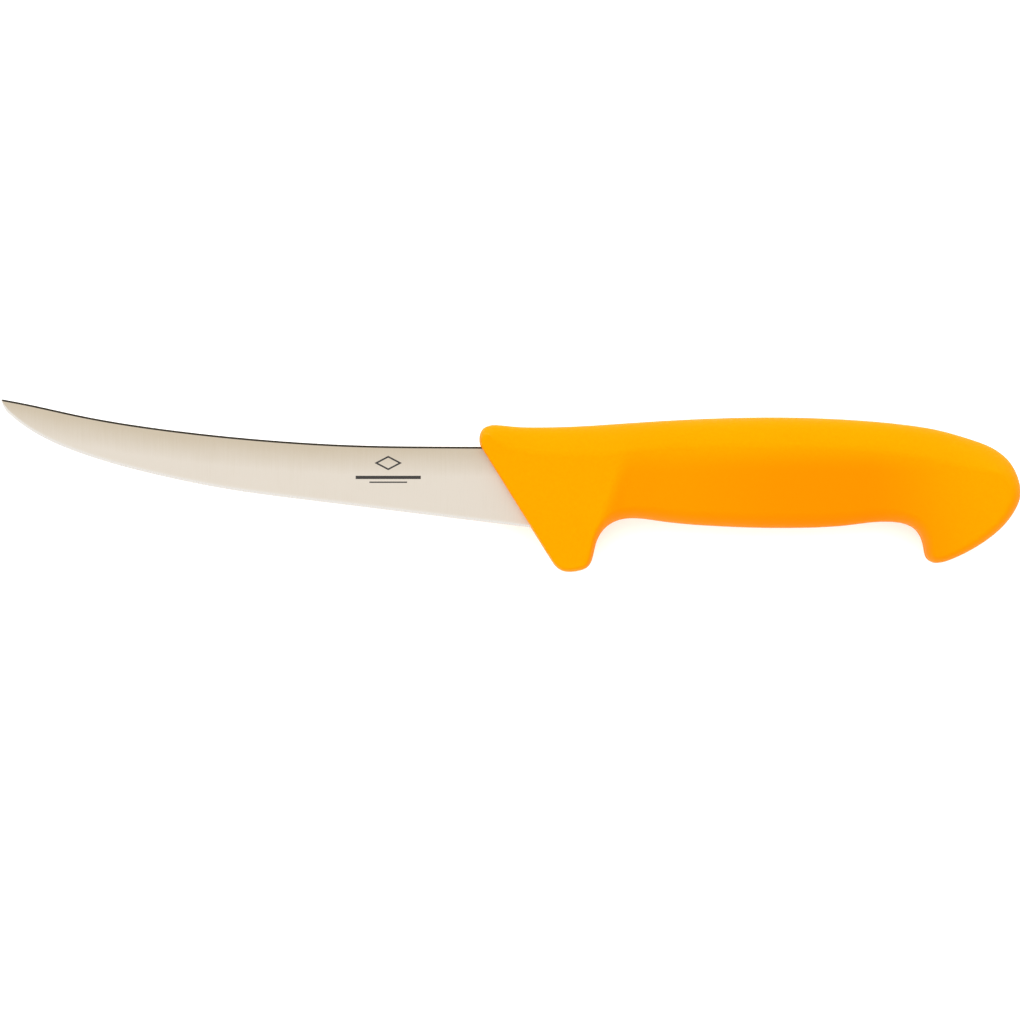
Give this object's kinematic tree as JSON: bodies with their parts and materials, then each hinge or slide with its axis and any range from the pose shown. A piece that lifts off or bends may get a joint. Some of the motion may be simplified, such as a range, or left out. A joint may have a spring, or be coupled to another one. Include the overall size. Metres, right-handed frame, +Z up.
{
  "type": "boning knife",
  "caption": "Curved boning knife: ground steel blade with a hidden tang, moulded into a hooked plastic handle with a finger guard.",
  "frame": {"origin": "on the surface the knife lies on, under the middle of its bounding box", "axes": "+X from the blade's tip to the handle's butt, +Y from the cutting edge to the spine, +Z up through the knife's thickness"},
  "size_m": [0.2968, 0.0501, 0.0214],
  "materials": {
    "blade_steel": "satin, ground across the blade",
    "core_plastic": "plain moulded",
    "handle_plastic": "fine moulded texture"
  },
  "bodies": {
    "root": {"blade": "blade_steel", "handle_core": "core_plastic", "handle_skin": "handle_plastic"}
  },
  "joints": []
}
